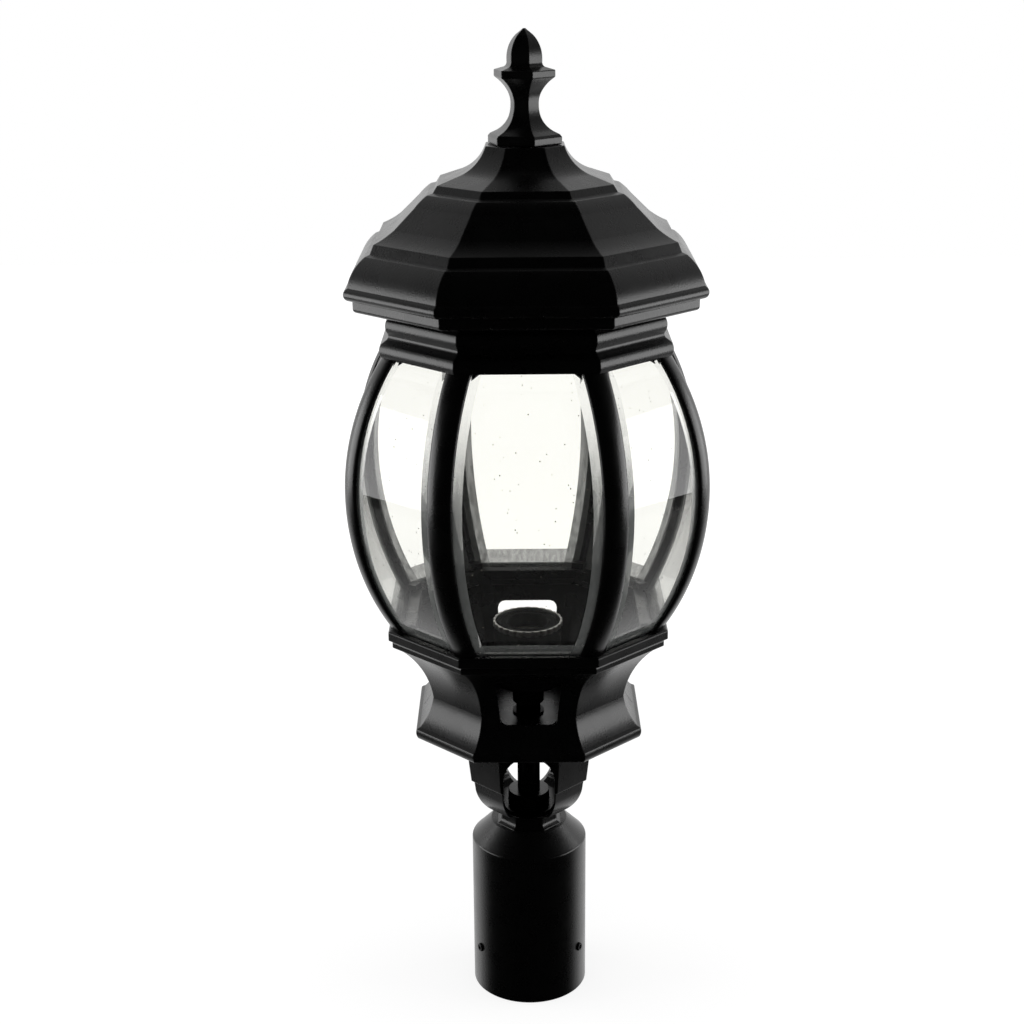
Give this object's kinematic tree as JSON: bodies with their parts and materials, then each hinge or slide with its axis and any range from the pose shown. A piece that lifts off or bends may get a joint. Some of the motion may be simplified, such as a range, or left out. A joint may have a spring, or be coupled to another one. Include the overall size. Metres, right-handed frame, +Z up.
{
  "type": "post top lantern",
  "caption": "Black cast aluminium post top lantern with bowed bevelled clear panes, a stepped octagonal roof, a knob finial and a round post fitter.",
  "frame": {"origin": "centre of the post fitter's lower edge", "axes": "+Z up along the post, the front looks along -Y, +X to the right seen from the front"},
  "size_m": [0.2374, 0.2374, 0.6803],
  "materials": {
    "black_casting": "satin black powder coat on cast aluminium",
    "clear_glass": "clear bent glass with bevelled borders",
    "zinc_steel": "bright zinc plate",
    "black_steel": "black oxide",
    "lampholder_black": "moulded thermoset",
    "lampholder_metal": "nickel plate",
    "brass_terminal": "bare brass"
  },
  "bodies": {
    "root": {"base_pedestal": "black_casting", "cage_bottom_ring": "black_casting", "cage_screws_lower": "zinc_steel", "cage_screws_upper": "zinc_steel", "cage_top_ring": "black_casting", "earth_screw": "brass_terminal", "finial_stud": "zinc_steel", "glass_clips": "black_steel", "lamp_tube": "zinc_steel", "lampholder_contact": "brass_terminal", "lampholder_cup": "lampholder_black", "lampholder_foot": "lampholder_black", "lampholder_insert": "lampholder_black", "lampholder_rim": "lampholder_metal", "lampholder_shell": "lampholder_metal", "neck_cup": "black_casting", "neck_disc": "black_casting", "pane_front": "clear_glass", "pane_front_right": "clear_glass", "pane_left": "clear_glass", "pane_left_front": "clear_glass", "pane_rear": "clear_glass", "pane_rear_left": "clear_glass", "pane_right": "clear_glass", "pane_right_rear": "clear_glass", "post_fitter": "black_casting", "rib_1": "black_casting", "rib_2": "black_casting", "rib_3": "black_casting", "rib_4": "black_casting", "rib_5": "black_casting", "rib_6": "black_casting", "rib_7": "black_casting", "rib_8": "black_casting", "roof_strap": "zinc_steel", "stem_sleeve": "black_casting", "strap_screws": "zinc_steel", "stud_nuts": "zinc_steel", "tube_nuts": "zinc_steel", "tube_washers": "zinc_steel"},
    "roof": {"roof": "black_casting"},
    "finial": {"finial": "black_casting"},
    "set_screw_1": {"set_screw_1": "black_steel"},
    "set_screw_2": {"set_screw_2": "black_steel"},
    "set_screw_3": {"set_screw_3": "black_steel"}
  },
  "joints": [
    {"name": "roof_lift", "type": "slide", "parent": "root", "child": "roof", "axis": [0, 0, 1], "range_m": [0, 0.125]},
    {"name": "finial_turn", "type": "hinge", "parent": "roof", "child": "finial", "pos_m": [0, 0, 0.6091], "axis": [0, 0, 1], "continuous": true},
    {"name": "set_screw_1_run", "type": "slide", "parent": "root", "child": "set_screw_1", "axis": [-0.866, 0.5, 0], "range_m": [-0.0015, 0.002]},
    {"name": "set_screw_2_run", "type": "slide", "parent": "root", "child": "set_screw_2", "axis": [0, -1, 0], "range_m": [-0.0015, 0.002]},
    {"name": "set_screw_3_run", "type": "slide", "parent": "root", "child": "set_screw_3", "axis": [0.866, 0.5, 0], "range_m": [-0.0015, 0.002]}
  ]
}
